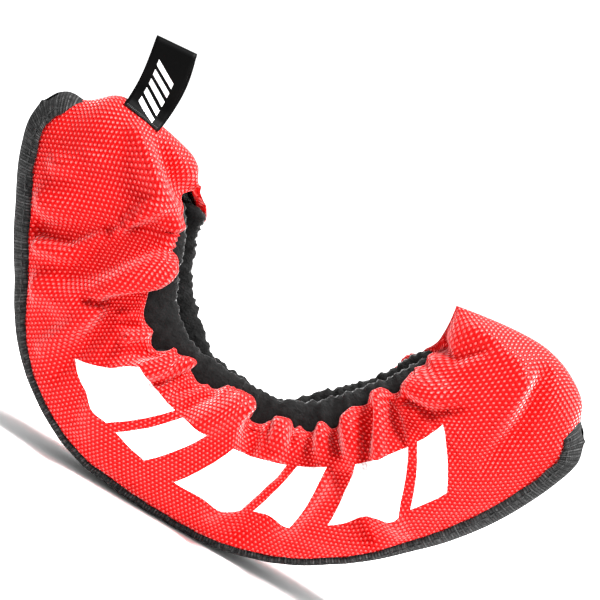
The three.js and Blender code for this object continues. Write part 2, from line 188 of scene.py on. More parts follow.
lip_crest = {
    "right": profile(
        (-83, 59.5), (-77, 58.3), (-66, 56.4), (-58, 57.8), (-42, 62.4), (-27, 64.6), (-9, 61.8),
        (2, 61.6), (12, 62.7), (30, 61), (43, 58.6), (52, 58), (63, 59.4), (71, 60.4), (80, 63),
    ),
    "left": profile(
        (-83, 57), (-74, 53.6), (-64, 53), (-55, 54.8), (-42, 57.4), (-29, 59.4), (-16, 63.4), (-3, 62.8),
        (9, 65), (16, 64.6), (28, 59.8), (41, 57.4), (53, 57.4), (62, 57.8), (70, 59.6), (80, 63),
    ),
}
half_width = profile((-99, 17), (-55, 20), (0, 21.5), (55, 21), (100, 18))
mouth_half_gap = profile(
    (-87, 0.1), (-81, 6), (-72, 9.5), (-56, 12), (-38, 12.5), (-4, 9.5), (30, 10.5), (56, 10), (72, 8),
    (79, 5), (84, 0.1),
)
top_closed = profile((-86, 1), (-80, 0), (78, 0), (83, 1))
sole_flat = profile((-62, 0), (-34, 7.3), (34, 7.3), (62, 0))
top_rounding = profile((-80, 17), (-60, 30), (70, 30), (98, 22))


# ---- Shapes shared by the layers ----

def mix(a, b, t):
    return a + (b - a) * t


def smooth(low, high, x):
    t = np.clip((x - low) / (high - low), 0, 1)
    return t * t * (3 - 2 * t)


def stacked(*values):
    """Values of any fitting shapes as the last axis of one array."""
    return np.stack(np.broadcast_arrays(*values), -1)


def units(vectors):
    return vectors / np.linalg.norm(vectors, axis=-1, keepdims=True)


def running(steps, axis=0):
    """Running sums that start with 0 along an axis."""
    return np.insert(steps, 0, 0, axis=axis).cumsum(axis=axis)


def turn_in(depth, rounding):
    """A round edge, from 0 at its rim to 1 where it is as deep as the rounding."""
    t = np.clip(depth / rounding, 0, 1)
    return np.sqrt(np.maximum(1 - (1 - t) ** 2, 0))


def half_thickness(angle, radius, inset, side="right"):
    """Half of the guard's thickness at a point of its side view, for a face inset inside the panels."""
    face = np.where(angle < 0, angle - heel_face(radius), toe_face(radius) - angle)
    top_edge = top_radius[side](angle) + inset * top_closed(angle)
    gap = np.maximum(mouth_half_gap(angle) - inset, 0)
    full = mix(gap, half_width(angle) - inset, turn_in(radius - top_edge, top_rounding(angle)))
    bottom = turn_in(sole_radius(angle) - radius - inset, SOLE_ROUNDING)
    end = turn_in(np.radians(face) * radius - inset, FACE_ROUNDING)
    return mix(np.minimum(sole_flat(angle), full), full, bottom) * end


def place(angle, radius, across):
    """Points in millimetres from polar form and a distance across."""
    a = np.radians(angle)
    x = CURL_X + radius * np.sin(a)
    z = CURL_Z - radius * np.cos(a)
    return stacked(x, across, z)


def polar(x, z):
    """The angle and radius of a place in the side view."""
    x, z = x - CURL_X, CURL_Z - z
    return np.degrees(np.arctan2(x, z)), np.hypot(x, z)


def stations():
    """The angle on the sole, the angle at the top and the fan of each section. The fan runs from 0 on the
    last radial section to 1 on the outline of a closed end."""
    fan = np.sin(np.radians(90 * np.arange(1, FAN_STEPS + 1) / FAN_STEPS))
    radial = np.arange(HEEL_FAN, TOE_FAN + 0.01, STATION_STEP)
    sole, top = (np.concatenate([mix(HEEL_FAN, heel, fan[::-1]), radial, mix(TOE_FAN, toe, fan)])
                 for heel, toe in ((HEEL_CORNER, TOE_CORNER), (HEEL_CREST, TOE_CREST)))
    return sole, top, np.concatenate([fan[::-1], 0 * radial, fan])


SOLE_ANGLES, TOP_ANGLES, FANS = stations()
MIDDLE = int(np.argmin(np.abs(SOLE_ANGLES)))


def wall(heights, inset, side):
    """Angles, radii and points of a grid on one side panel, from the sole at height 0 to the mouth at 1."""
    sole, top, fan = (a[:, None] for a in (SOLE_ANGLES, TOP_ANGLES, FANS))
    heights = heights[None, :]
    top_edge = top_radius[side](top) + inset * top_closed(top)
    radius = mix(sole_radius(sole) - inset, top_edge, heights)
    face = np.where(sole < 0, heel_face(radius), toe_face(radius))
    face = face - np.sign(sole) * np.degrees(inset / radius)
    angle = mix(mix(sole, top, heights), mix(sole, face, fan), fan)
    across = half_thickness(angle, radius, inset, side)
    return angle, radius, place(angle, radius, SIDES[side] * across)


def even_rows(count):
    """Heights from 0 to 1 that are closer together at the sole and at the mouth."""
    t = np.linspace(0, 1, count)
    return mix(t, (1 - np.cos(np.pi * t)) / 2, 0.7)


def finer(grid, axis):
    """A grid with one more point between each two along an axis, on a smooth curve through them."""
    g = np.moveaxis(grid, axis, 0)
    before = np.concatenate([2 * g[:1] - g[1:2], g[:-2]])
    after = np.concatenate([g[2:], 2 * g[-1:] - g[-2:-1]])
    out = np.empty((2 * len(g) - 1,) + g.shape[1:])
    out[::2] = g
    out[1::2] = (9 * (g[:-1] + g[1:]) - before - after) / 16
    return np.moveaxis(out, 0, axis)


def normals_of(grid):
    """Unit normals of a grid, on the side where stations turn left into rows."""
    normal = np.cross(np.gradient(grid, axis=0), np.gradient(grid, axis=1))
    return normal / np.maximum(np.linalg.norm(normal, axis=-1, keepdims=True), 1e-9)


def ripple(x, seed):
    """A wandering wave between about -1 and 1, with a period near 1."""
    phase = 2.4 * seed
    return 0.6 * np.sin(2 * np.pi * (x + 0.31 * np.sin(0.9 * x + phase)) + phase) + 0.4 * np.sin(
        2 * np.pi * (0.57 * x + 0.2 * np.sin(1.7 * x - phase)) + 2 * phase)


# ---- Meshes ----

def grid_faces(shape, closed=False, first=0):
    """Quads of a grid; closed joins the last row to the first."""
    index = first + np.arange(shape[0] * shape[1]).reshape(shape[:2])
    if closed:
        index = np.concatenate([index, index[:, :1]], axis=1)
    quads = np.stack([index[:-1, :-1], index[1:, :-1], index[1:, 1:], index[:-1, 1:]], -1)
    return quads.reshape(-1, 4)


def make_mesh(name, points, faces, skin, uv=None, print_uv=None, normals=None):
    """A mesh object from points in millimetres."""
    mesh = bpy.data.meshes.new(name)
    mesh.from_pydata((np.asarray(points).reshape(-1, 3) / 1000).tolist(), [], list(map(list, faces)))
    corner = np.empty(len(mesh.loops), int)
    mesh.loops.foreach_get("vertex_index", corner)
    for layer_name, values in (("Cloth", uv), ("Print", print_uv)):
        if values is not None:
            layer = mesh.uv_layers.new(name=layer_name)
            flat = np.asarray(values, np.float32).reshape(-1, 2)[corner]
            layer.data.foreach_set("uv", flat.ravel())
    mesh.polygons.foreach_set("use_smooth", [True] * len(mesh.polygons))
    mesh.materials.append(skin)
    mesh.update()
    if normals is not None:
        mesh.normals_split_custom_set_from_vertices(np.asarray(normals).reshape(-1, 3).tolist())
    obj = bpy.data.objects.new(name, mesh)
    bpy.context.scene.collection.objects.link(obj)
    return obj


def end_cap(first, count):
    """Quads that close a ring of count points, across it from side to side."""
    last = first + count - 1
    return [[first + i, first + i + 1, last - 1 - i, last - i] for i in range(count // 2 - 1)]


def tube_faces(shape, first=0):
    """Faces of a closed tube, capped at both ends."""
    last = first + (shape[0] - 1) * shape[1]
    sides = grid_faces(shape, closed=True, first=first).tolist()
    return sides + end_cap(first, shape[1]) + end_cap(last, shape[1])


def tube_mesh(name, grid, skin, uv):
    """A closed tube from sections grid[station, place round]."""
    obj = make_mesh(name, grid, tube_faces(grid.shape), skin, uv)
    face_out(obj)
    return obj


def face_out(obj):
    """Turns the faces of closed bodies outwards."""
    mesh = bmesh.new()
    mesh.from_mesh(obj.data)
    bmesh.ops.recalc_face_normals(mesh, faces=mesh.faces)
    mesh.to_mesh(obj.data)
    mesh.free()


def stitch_mesh(name, stitches):
    """Separate stitches as one mesh, each a closed tube with the same number of points."""
    size = stitches[0].size // 3
    faces = [face for i, tube in enumerate(stitches) for face in tube_faces(tube.shape, i * size)]
    obj = make_mesh(name, stitches, faces, thread)
    face_out(obj)
    return obj


def thick_mesh(name, outer, inner, skin, uv):
    """A closed sheet between an outer and an inner grid."""
    ring = np.concatenate([outer, inner[:, ::-1]], axis=1)
    return tube_mesh(name, ring, skin, np.concatenate([uv, uv[:, ::-1]], axis=1))


def bend(obj, half):
    """Bakes a piece's transform into its mesh; the hinge's start and end places are worked out but go
    unused.
    """
    start, end = (place(HALVES[half] * angle, BEND_RADIUS, 0) / 1000 for angle in (BEND_START, BEND_END))
    tuple(start)
    tuple(end)
    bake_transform(obj)


def flat_cut(uv):
    """(width, length) and area, in metres, of the flat cut whose places are a grid of uv."""
    a, b = uv[1:, 1:] - uv[:-1, :-1], uv[:-1, 1:] - uv[1:, :-1]
    area = np.abs(a[..., 0] * b[..., 1] - a[..., 1] * b[..., 0]).sum() / 2 / 1e6
    span = np.ptp(uv.reshape(-1, 2), axis=0) / 1000
    return (float(span[1]), float(span[0])), float(area)


def half_range(half, middle=MIDDLE):
    """The stations of one half of a grid; both halves have the middle one."""
    return slice(None, middle + 1) if half == "heel" else slice(middle, None)


# ---- Material tools ----

def grey(value):
    return value, value, value


def material(name, base, roughness, sheen=0.0, specular=0.5):
    """A new material, and the tools to add nodes to it."""
    m = bpy.data.materials.new(name)
    m.use_nodes = True
    shader = m.node_tree.nodes["Principled BSDF"]
    shader.inputs["Base Color"].default_value = (*base, 1)
    shader.inputs["Roughness"].default_value = roughness
    shader.inputs["Sheen Weight"].default_value = sheen
    shader.inputs["Specular IOR Level"].default_value = specular
    return m, Nodes(m.node_tree, shader)


class Nodes:
    """Short ways to add shader nodes; most return an output socket."""

    def __init__(self, tree, shader):
        self.tree = tree
        self.shader = shader

    def add(self, kind, **settings):
        node = self.tree.nodes.new(kind)
        for name, value in settings.items():
            setattr(node, name, value)
        return node

    def put(self, value, socket):
        if isinstance(value, bpy.types.NodeSocket):
            self.tree.links.new(value, socket)
        else:
            socket.default_value = value

    def calc(self, operation, *values, clamp=False):
        node = self.add("ShaderNodeMath", operation=operation, use_clamp=clamp)
        for value, socket in zip(values, node.inputs):
            self.put(value, socket)
        return node.outputs[0]

    def times(self, product, *factors):
        for factor in factors:
            product = self.calc("MULTIPLY", product, factor)
        return product

    def above(self, value, level, gain):
        """How far a value is above a level, times gain, and kept within 0 and 1."""
        return self.calc("MULTIPLY", self.calc("SUBTRACT", value, level), gain, clamp=True)

    def between(self, value, low, high):
        """1 where a value is between two others, and 0 elsewhere."""
        return self.times(self.calc("GREATER_THAN", value, low), self.calc("LESS_THAN", value, high))

    def within(self, value, pitch):
        """How far a value is through its step of a pitch, from 0 to 1."""
        return self.calc("FRACT", self.calc("DIVIDE", value, pitch))

    def ribs(self, value, pitch):
        """Round ribs: 0 between them and 1 on top."""
        return self.calc("ABSOLUTE", self.calc("SINE", self.times(value, math.pi / pitch)))

    def colour(self, factor, a, b):
        """From colour a at factor 0 to colour b at 1."""
        node = self.add("ShaderNodeMix", data_type="RGBA")
        self.put(factor, node.inputs[0])
        for value, socket in ((a, node.inputs[6]), (b, node.inputs[7])):
            self.put((*value, 1) if isinstance(value, tuple) else value, socket)
        return node.outputs[2]

    def plane(self, layer):
        """x and y of a UV layer, in millimetres."""
        parts = self.add("ShaderNodeSeparateXYZ")
        self.tree.links.new(self.add("ShaderNodeUVMap", uv_map=layer).outputs[0], parts.inputs[0])
        return parts.outputs[0], parts.outputs[1]

    def noise(self, scale, detail=2.0):
        """Noise in the object's own frame; scale is in blobs per metre."""
        texture = self.add("ShaderNodeTexNoise")
        texture.inputs["Scale"].default_value = scale
        texture.inputs["Detail"].default_value = detail
        where = self.add("ShaderNodeTexCoord").outputs["Object"]
        self.tree.links.new(where, texture.inputs["Vector"])
        return texture.outputs["Fac"]

    def paint(self, colour):
        self.put(colour, self.shader.inputs["Base Color"])

    def bump(self, height, distance, strength=1.0):
        node = self.add("ShaderNodeBump")
        node.inputs["Distance"].default_value = distance
        node.inputs["Strength"].default_value = strength
        self.tree.links.new(height, node.inputs["Height"])
        self.tree.links.new(node.outputs[0], self.shader.inputs["Normal"])


# ---- Materials ----

def weave_crowns(n):
    """Height of the nylon's basket weave, from 0 in the gaps to 1 on the crowns, in staggered rows."""
    x, y = n.plane("Cloth")
    rise = WEAVE_PITCH * math.sqrt(0.75)
    row = n.calc("FLOOR", n.calc("DIVIDE", y, rise))
    shift = n.times(n.calc("FLOORED_MODULO", row, 2.0), 0.5)
    column = n.calc("ADD", n.calc("DIVIDE", x, WEAVE_PITCH), shift)
    across = n.times(n.calc("SUBTRACT", n.calc("FRACT", column), 0.5), 2.1)
    along = n.times(n.calc("SUBTRACT", n.within(y, rise), 0.5), 1.9)
    reach = n.calc("ADD", n.calc("POWER", across, 2.0), n.calc("POWER", along, 2.0))
    return n.calc("SUBTRACT", 1.0, reach, clamp=True)


def side_print(n):
    """1 on the print: three pairs of slanted white bars that follow the curl."""
    s, h = n.plane("Print")
    lean = n.calc("SUBTRACT", s, n.times(h, PRINT_LEAN))
    step = n.times(n.within(n.calc("SUBTRACT", lean, PRINT_ENDS[0]), PRINT_STEP), PRINT_STEP)
    bars = n.calc("ADD", n.calc("LESS_THAN", step, PRINT_BROAD), n.between(step, *PRINT_SLIM), clamp=True)
    return n.times(bars, n.times(n.between(lean, *PRINT_ENDS), n.between(h, *PRINT_BAND)))


def nylon_material(name, printed):
    """Red nylon with a painted highlight on each crown of its weave. The printed panel has a white film on
    it, worn in the gaps.
    """
    m, n = material(name, (0.6, 0, 0), 0.42, sheen=0.45, specular=0.07)
    n.shader.inputs["Sheen Roughness"].default_value = 0.3
    n.shader.inputs["Sheen Tint"].default_value = (1, 0.8, 0.8, 1)
    crown = weave_crowns(n)
    # painted highlight: every crown of the weave is coloured pale pink, as if it caught the light
    light = n.above(crown, 0.72, 4.2)
    tone = n.colour(n.noise(45.0, 3.0), (0.3, 0.0, 0.0), (0.5, 0.0, 0.0))
    cloth = n.colour(light, tone, (0.85, 0.105, 0.1))
    if printed:
        gaps = n.calc("SUBTRACT", 1.0, n.times(light, 1.6), clamp=True)
        worn = n.times(n.above(n.noise(60.0, 2.0), 0.47, 5.0), n.times(gaps, 0.6))
        cloth = n.colour(side_print(n), cloth, n.colour(worn, (0.93, 0.9, 0.9), (0.7, 0.5, 0.5)))
    n.paint(cloth)
    n.bump(crown, 0.0005, 0.8)
    return m


def webbing_material():
    """Black ribbed webbing, with grey flecks on its ribs and broken grey lines across it."""
    m, n = material("webbing", grey(0.03), 0.85, sheen=0.02, specular=0.12)
    x, y = n.plane("Cloth")
    rib, warp = n.ribs(x, 1.35), n.ribs(y, 1.2)
    wander = n.times(n.noise(90.0, 2.0), 5.0)
    lines = n.calc("SINE", n.calc("ADD", wander, n.times(x, 2 * math.pi / 2.9)))
    patch = n.above(n.noise(420.0, 2.0), 0.3, 1.6)
    line = n.times(n.calc("GREATER_THAN", lines, 0.9), n.times(patch, 1.1))
    fleck = n.times(rib, warp, n.times(patch, 0.8))
    n.paint(n.colour(n.calc("ADD", line, fleck, clamp=True), grey(0.003), grey(0.065)))
    n.bump(n.calc("ADD", n.times(rib, 0.7), n.times(warp, 0.3)), 0.0004, 0.8)
    return m


def fleece_material():
    """Black fleece, with a fine pile in soft tufts."""
    m, n = material("fleece", grey(0.012), 1.0, sheen=0.4, specular=0.03)
    n.shader.inputs["Sheen Roughness"].default_value = 0.35
    pile, tuft = n.noise(1100.0, 4.0), n.noise(320.0, 3.0)
    n.paint(n.colour(tuft, grey(0.002), grey(0.014)))
    n.bump(n.calc("ADD", n.times(pile, 0.6), tuft), 0.0009, 0.9)
    return m


def thread_material():
    m, n = material("thread", grey(0.02), 0.7, sheen=0.05, specular=0.2)
    ply = n.noise(1500.0)
    n.paint(n.colour(ply, grey(0.004), grey(0.03)))
    n.bump(ply, 0.0002)
    return m


def elastic_material():
    m, n = material("elastic", (0.04, 0.04, 0.042), 0.7)
    rib = n.ribs(n.plane("Cloth")[0], 0.9)
    n.paint(n.colour(rib, grey(0.02), (0.08, 0.08, 0.082)))
    n.bump(rib, 0.0002)
    return m


def ribbon_material():
    """Black satin, with a generic row of slanted white bars on the face ply."""
    m, n = material("ribbon", grey(0.004), 0.5, specular=0.03)
    x, y = n.plane("Cloth")
    lean = n.calc("ADD", y, n.times(x, BAR_LEAN))
    bars = n.calc("LESS_THAN", n.within(lean, BAR_STEP), BAR_SHARE)
    middle = n.calc("LESS_THAN", n.calc("ABSOLUTE", x), BAR_HALF)
    mark = n.times(bars, n.between(lean, *BAR_ENDS), middle)
    n.paint(n.colour(mark, grey(0.001), grey(0.92)))
    n.bump(n.ribs(y, 0.4), 0.00006, 0.4)
    return m


nylon_printed = nylon_material("nylon_printed", True)
nylon_plain = nylon_material("nylon", False)
webbing = webbing_material()
fleece = fleece_material()
thread = thread_material()
elastic = elastic_material()
ribbon = ribbon_material()

# ---- The shell ----

# Folds of the right panel: from (angle, radius), to (angle, radius), width, height. The height
# is that at the start, and a valley's is negative.
RIGHT_FOLDS = [
    # the heel arm, from its hood down to the print
    (-72, 120, -71, 104, 6, 1.2),
    (-96, 92, -74, 60, 4.5, 1.8), (-98, 82, -80, 57, 5.5, -2.4), (-80, 116, -86, 98, 3.4, 1),
    (-66, 122, -65, 106, 4, -3.4), (-65, 106, -69, 88, 5, -3.2), (-69, 88, -78, 76, 4, -2.6),
    (-63, 118, -61, 100, 4, 1.8), (-54, 118, -50, 100, 6, 1.6),
    (-78, 72, -62, 108, 4.2, 2.6), (-67, 68, -56, 106, 5, -3.8), (-70, 76, -70, 60, 2.6, -2.4),
    (-59, 66, -49, 108, 5, 2.8), (-55, 62, -50, 92, 3.2, 3), (-45, 72, -50, 98, 4.6, -7),
    (-44, 86, -42, 76, 2, 1.6), (-41, 86, -39, 78, 2, -1.8), (-37.5, 86, -36, 78, 2.2, 1.8),
    (-48, 92, -42, 121, 4, 2.6), (-44, 90, -36, 121, 4, -3), (-30, 96, -24, 122, 5, 1.8),
    # the lowest third
    (-30, 74, -33, 88, 3, -2.2), (-20, 70, -28, 92, 4, 2.4), (-17, 70, -24, 92, 2.6, -3),
    (-13.5, 72, -16.5, 85, 2.2, -2.4), (3, 70, -7, 92, 4.5, 2.8), (-9, 72, -12, 86, 2.6, -1.6),
    (9, 73, 11, 88, 3, -3.8), (18, 72, 18, 83, 5, 2), (14, 73, 15, 80, 1.6, -1.4),
    (22, 72, 22, 80, 1.6, -1.4), (27, 71, 28, 85, 2.2, -3.6), (28, 85, 26, 95, 3, -2.2),
    (31, 71, 31, 81, 3, 1.8), (35, 71, 36.5, 82, 2.2, -2.8), (41, 69, 41, 85, 4, 2),
    (25, 90, 20, 100, 5, -4), (20, 100, 14, 124, 5, -4.6), (30, 93, 23, 114, 5, 3.2),
    (17, 92, 8, 114, 5, 2.8), (37, 92, 41, 122, 3.6, -4), (44, 94, 47, 120, 4, 2.6),
    (54, 64, 47.5, 90, 3, 3), (58, 67, 56, 84, 3, -3), (50, 66, 44, 86, 3, -2.6),
    # the toe arm
    (66, 69, 74, 80, 6, 2.6), (63, 70, 68, 81, 2.6, -2.4), (68, 81, 76, 88, 3, -2.2),
    (98, 74, 93, 104, 5, 1), (94, 108, 80, 111, 4, -2.2), (80, 111, 70, 111, 4, -1.6),
    (90, 101, 78, 103, 4, 1.4), (84, 62, 86, 71, 3, -1.4), (86, 71, 95, 83, 3, -1.4),
]

# The left panel gathers as the right one does, from end to end of its mouth.
LEFT_FOLDS = [
    (angle, 62, angle + 7 * math.sin(1.7 * i), 88 + 14 * math.sin(2.3 * i), 3.2 + math.sin(1.1 * i),
     (1.3 + 0.4 * math.sin(3.1 * i)) * (-1 if i % 2 else 1))
    for i, angle in enumerate(np.linspace(-70, 66, 25))
]


def fold_lift(points, folds):
    """How far the folds lift a grid of points off the smooth shape. A crest is round, a valley is a sharper
    crease, and both fade towards their far end."""
    x, z = points[..., 0], points[..., 2]
    lift = np.zeros(x.shape)
    for angle, radius, to_angle, to_radius, width, height in folds:
        start, end = place(angle, radius, 0), place(to_angle, to_radius, 0)
        run = end - start
        t = ((x - start[0]) * run[0] + (z - start[2]) * run[2]) / (run @ run)
        t = np.clip(t, 0, 1)
        away = np.hypot(x - start[0] - t * run[0], z - start[2] - t * run[2]) / width
        crest = np.exp(-away ** 2) if height > 0 else np.exp(-1.7 * (np.hypot(away, 0.3) - 0.3))
        lift += FOLD_GAIN * height * crest * (1 - 0.75 * t * t)
    return lift


def widened(angle, radius, across):
    """Where a point of the curled guard lies in the wider curl that the cloth was cut for."""
    shrink = SOLE_LEVEL / (SOLE_LEVEL + CUT_SHIFT)
    limit = np.clip(angle, *CUT_LIMITS)
    centre = limit * shrink
    moved = place(centre, CUT_SHIFT, 0) - place(0, 0, 0)
    return place(angle - limit + centre, radius, across) + moved


def shell_panel(side):
    """One side panel: the angles, radii and points of its smooth grid, its points in the cut's shape, its
    length up from the sole and its places in the flat cut."""
    angle, radius, points = wall(even_rows(ROWS), 0, side)
    rest = widened(angle, radius, points[..., 1])
    rise = np.linalg.norm(np.diff(points, axis=1), axis=2)
    length = np.concatenate([np.abs(points[:, :1, 1]), rise], axis=1).cumsum(axis=1)
    run = np.linalg.norm(np.diff(points, axis=0), axis=2) / ((radius[1:] + radius[:-1]) / 2)
    turned = np.degrees(running(run) - running(run)[MIDDLE])
    flat = widened(turned, SOLE_LEVEL - length, 0)[..., ::2]
    return angle, radius, points, rest, length, flat


def small_folds(side, angle, radius, from_mouth):
    """Height of the folds that aren't listed: small gathers at the mouth, and crumples all over."""
    pucker = PUCKER * ripple(angle / PUCKER_PITCH, SIDES[side]) * np.exp(-from_mouth / PUCKER_FADE)
    crumple = ripple(angle / 6.3 + radius / 31 + 0.4 * np.sin(radius / 9 + angle / 12), 4 + SIDES[side])
    slack = ripple(radius / 15 - angle / 21 + 0.3 * np.sin(angle / 7), 9 + SIDES[side])
    return pucker + CRUMPLE * (crumple * (0.3 + 0.7 * np.exp(-from_mouth / 25)) + 0.6 * slack)


def settled_panel(side, angle, radius, points, rest, length):
    """A side panel whose folds are begun from the lists, settled, partly pressed in again and limited."""
    from_mouth = length[:, -1:] - length
    open_mouth = 1 - top_closed(angle)
    at_rim = np.exp(-from_mouth / RIM_FADE) * open_mouth
    loose = smooth(HELD, FREE, length) * smooth(0, END_HELD, 1 - FANS)[:, None]
    free = loose.copy()
    free[:, -1] *= 0.5 * open_mouth[:, -1]
    begun = fold_lift(points, RIGHT_FOLDS if side == "right" else LEFT_FOLDS)
    begun += small_folds(side, angle, radius, from_mouth) * open_mouth
    begun *= loose * (1 - 0.5 * at_rim)
    out = normals_of(points) * -SIDES[side]
    settled = gather(points + out * begun[..., None], points, rest, free, side)
    settled += out * (PRESSED * begun)[..., None]
    lift = ((settled - points) * out).sum(-1)
    low, high = (mix(limit, RIM_LIMIT[side], at_rim) for limit in (LOW_LIMIT, HIGH_LIMIT))
    within = np.where(lift < 0, low * np.tanh(lift / low), high * np.tanh(lift / high))
    return settled + out * (within - lift)[..., None]


def thread_pairs(shape):
    """Neighbouring points of a grid: slices of the first and the second of each pair, and the threads'
    strength. No point is in one set twice."""
    count, rows = shape
    whole = slice(None)
    for parity in (0, 1):
        near, far = slice(parity, count - 1, 2), slice(parity + 1, count, 2)
        yield (near, whole), (far, whole), WARP_STRENGTH
        yield (near, slice(0, rows - 1)), (far, slice(1, rows)), BIAS_STRENGTH
        yield (near, slice(1, rows)), (far, slice(0, rows - 1)), BIAS_STRENGTH
        low, high = slice(parity, rows - 1, 2), slice(parity + 1, rows, 2)
        yield (whole, low), (whole, high), WEFT_STRENGTH


def gather(start, base, rest, free, side):
    """Lets the cloth settle. Its threads go back towards the length that they were cut to, so the spare
    length near the mouth buckles where folds were begun, and the cloth's stiffness smooths them."""
    out = normals_of(base) * -SIDES[side]
    threads = [(a, b, strength, np.linalg.norm(rest[b] - rest[a], axis=-1))
               for a, b, strength in thread_pairs(start.shape[:2])]
    points = start.copy()
    for _ in range(GATHER_ROUNDS):
        for a, b, strength, length in threads:
            apart = points[b] - points[a]
            now = np.linalg.norm(apart, axis=-1)
            strain = 1 - length / np.maximum(now, 1e-6)
            share = np.where(strain > 0, TAUT, strength) * strain / np.maximum(free[a] + free[b], 1e-6)
            points[a] += apart * (share * free[a])[..., None]
            points[b] -= apart * (share * free[b])[..., None]
        moved = points - start
        eased = moved.copy()
        eased[1:-1] += BEND_ALONG * (moved[2:] - 2 * moved[1:-1] + moved[:-2])
        eased[:, 1:-1] += BEND_UP * (moved[:, 2:] - 2 * moved[:, 1:-1] + moved[:, :-2])
        lift = (eased * out).sum(-1, keepdims=True)
        slide = eased - out * lift
        slide[:, -1] = 0
        points = start + (slide * (1 - GRIP) + out * lift * (1 - HOLD)) * np.minimum(1, free * 4)[..., None]
    return points


def with_hem(points, side, angle):
    """The panel with its rim turned in and down, as a rolled hem."""
    rim = points[:, -1]
    to_centre = units(np.array([CURL_X, 0, CURL_Z]) - rim * [1, 0, 1])
    inward = np.array([0, -SIDES[side], 0]) * (1 - 0.9 * top_closed(angle[:, -1:]))
    rows = []
    for degrees in (45, 90, 135, 180):
        a = math.radians(degrees)
        rows.append(rim + HEM_RADIUS * (math.sin(a) * to_centre + (1 - math.cos(a)) * inward))
    for depth in (HEM_DEPTH / 2, HEM_DEPTH):
        rows.append(rows[3] - depth * to_centre)
    return np.concatenate([points, np.stack(rows, axis=1)], axis=1)


RIM_SHIFT = {}  # for each side, the rim's angles and how far out its folds move it


def build_shell():
    for side in SIDES:
        angle, radius, points, rest, length, flat = shell_panel(side)
        settled = settled_panel(side, angle, radius, points, rest, length)
        RIM_SHIFT[side] = (angle[:, -1], (settled - points)[:, -1, 1] * SIDES[side])
        grid = with_hem(settled, side, angle)
        extra = grid.shape[1] - flat.shape[1]
        inward = np.arange(1, extra + 1)[None, :, None] * (flat[:, -1:] - flat[:, -2:-1])
        flat = np.concatenate([flat, flat[:, -1:] + inward], axis=1)
        printed = np.stack([np.radians(angle) * PRINT_RADIUS, SOLE_LEVEL - radius], -1)
        printed = np.concatenate([printed, np.repeat(printed[:, -1:], extra, axis=1)], axis=1)
        layers = [finer(finer(finer(g, 0), 0), 1) for g in (grid, flat, printed)]
        layers.append(normals_of(layers[0]) * -SIDES[side])
        for half in HALVES:
            build_shell_half(side, half, *(g[half_range(half, 4 * MIDDLE)] for g in layers))


def build_shell_half(side, half, grid, flat, printed, normals):
    faces = grid_faces(grid.shape)
    if side == "left":
        faces = faces[:, ::-1]
    skin = nylon_printed if side == "right" else nylon_plain
    obj = make_mesh(f"shell_{side}_{half}_half", grid, faces, skin, flat, printed, normals)
    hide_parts(f"shell_{side}_{half}", f"shell_{side}_middle")
    size, area = flat_cut(flat)
    bend(obj, half)


build_shell()


# ---- The lining ----

def build_lining():
    heights = even_rows(LINING_ROWS) * LINING_TOP
    for side in SIDES:
        layers = []
        for inset in LINING_INSETS:
            angle, radius, points = wall(heights, inset, side)
            lump = 0.35 * ripple(angle / 6 + radius / 23, SIDES[side] + inset)
            layers.append(points + normals_of(points) * lump[..., None])
        uv = np.stack([np.radians(angle) * radius, SOLE_LEVEL - radius], -1)
        for half in HALVES:
            outer, inner, places = (finer(finer(g[half_range(half)], 0), 1) for g in (*layers, uv))
            obj = thick_mesh(f"lining_{side}_{half}_half", outer, inner, fleece, places)
            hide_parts(f"lining_{side}_{half}", f"lining_{side}_middle")
            size, area = flat_cut(places)
            bend(obj, half)


build_lining()


# ---- The mouth's lips and their elastic ----

def lip_frame(side, angles):
    """The lip's middle across, its thickness, and the radii of its crest and of the rim."""
    shift = np.interp(angles, *RIM_SHIFT[side])
    shift = np.convolve(np.pad(shift, 3, "edge"), np.ones(7) / 7, "valid")
    gap = np.maximum(mouth_half_gap(angles) + shift, 1.5)
    thick = np.minimum(LIP_THICK, 0.8 * gap + 1.6)
    middle = np.maximum(gap - HEM_RADIUS * 2 - thick / 2, thick / 2 - 0.6)
    rim = top_radius[side](angles)
    crest = np.minimum(lip_crest[side](angles), rim - 1.2)
    return middle, thick, crest, rim


def lip_grid(side, angles):
    """Sections round a lip. It is puckered and lumpy towards its crest, and narrows at both ends."""
    middle, thick, crest, rim = (v[:, None] for v in lip_frame(side, angles))
    sign = SIDES[side]
    a = angles[:, None]
    turn = np.linspace(0, 2 * np.pi, LIP_ROUND, endpoint=False)[None, :]
    tall = (rim + LIP_TUCK - crest) / 2
    box = np.abs(np.cos(turn)) ** LIP_SQUARE + np.abs(np.sin(turn)) ** LIP_SQUARE
    box = 1.0 / box ** (1 / LIP_SQUARE)
    up = np.maximum(np.sin(turn), 0)
    pucker = ripple(a / 4.1 + 0.15 * np.cos(turn), 3 + sign) * (0.35 + 0.65 * up)
    lump = ripple(a / 9.7, 5 + sign) * up + 0.6 * ripple(a / 2.3 + turn, 7 + sign) * (0.3 + 0.7 * up)
    taper = np.sqrt(np.clip(np.minimum(a - LIP_ENDS[0], LIP_ENDS[1] - a) / 5, 0.02, 1))
    swell = 1 + 0.1 * pucker * taper
    radius = crest + tall - tall * box * np.sin(turn) * mix(0.55, 1, taper)
    radius = radius - (0.55 * pucker + 0.45 * lump) * up
    across = middle + thick / 2 * box * np.cos(turn) * swell * taper
    return place(a, radius, sign * across), stacked(np.radians(a) * MOUTH_RADIUS, turn * 6)


def build_lips():
    for side in SIDES:
        for half in HALVES:
            span = (LIP_ENDS[0], 0) if half == "heel" else (0, LIP_ENDS[1])
            angles = np.linspace(*span, LINE_POINTS)
            grid, uv = lip_grid(side, angles)
            obj = tube_mesh(f"mouth_lip_{side}_{half}_half", grid, fleece, uv)
            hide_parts(f"mouth_lip_{side}_{half}", f"mouth_lip_{side}_middle")
            bend(obj, half)
            build_elastic(side, half, angles[3:] if half == "heel" else angles[:-3])


